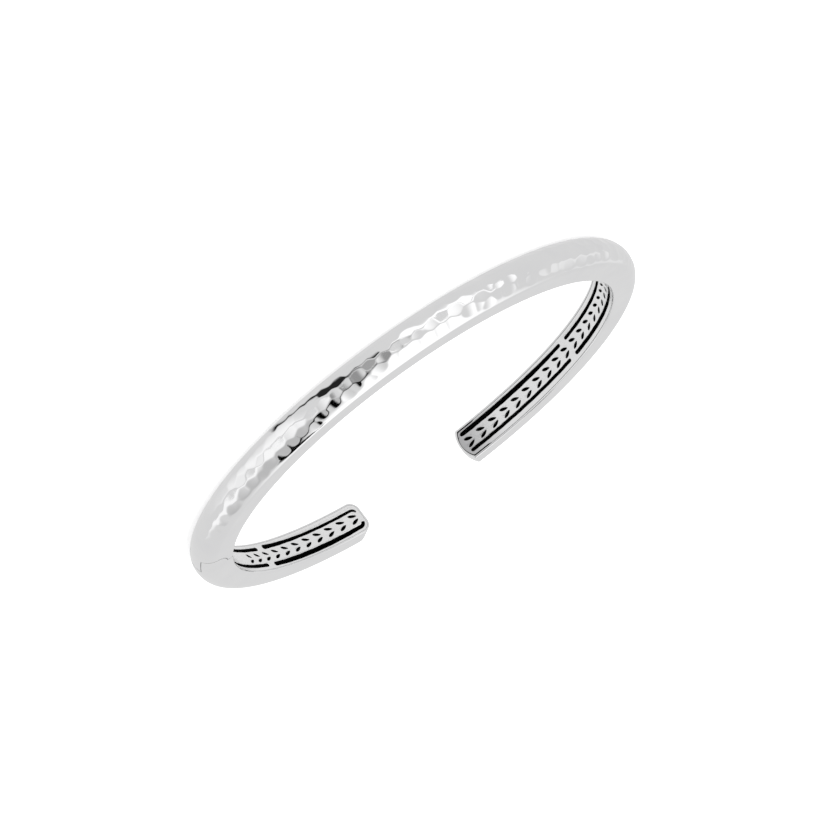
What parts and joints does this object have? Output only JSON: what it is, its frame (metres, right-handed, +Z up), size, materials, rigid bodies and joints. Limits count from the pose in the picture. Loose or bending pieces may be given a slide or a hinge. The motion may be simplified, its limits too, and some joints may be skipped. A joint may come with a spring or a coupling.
{
  "type": "hinged cuff bangle",
  "caption": "Slim hinged cuff bangle of polished hammered silver, with a pierced leaf gallery inside and rounded tips.",
  "frame": {"origin": "middle of the cuff's own box, on the surface that it lies on", "axes": "+Z up, square to the flat side of the band; +Y towards the gap between the tips; +X towards the hinge"},
  "size_m": [0.0674, 0.058, 0.0045],
  "materials": {
    "polished_silver": "sterling silver, hammered in small shallow facets and polished, plain at the sides",
    "gallery_silver": "sterling silver, pierced, satin polished, darkened in its openings",
    "pin_silver": "plain drawn wire"
  },
  "bodies": {
    "front_band": {"front_band_shell": "polished_silver", "front_band_gallery": "gallery_silver", "hinge_pin": "pin_silver"},
    "hinged_arm": {"hinged_arm_shell": "polished_silver", "hinged_arm_gallery": "gallery_silver"}
  },
  "joints": [
    {"name": "arm_hinge", "type": "hinge", "parent": "front_band", "child": "hinged_arm", "pos_m": [0.0322, 0.0006, 0.00225], "axis": [0, 0, -1], "range_deg": [0, 35]}
  ]
}
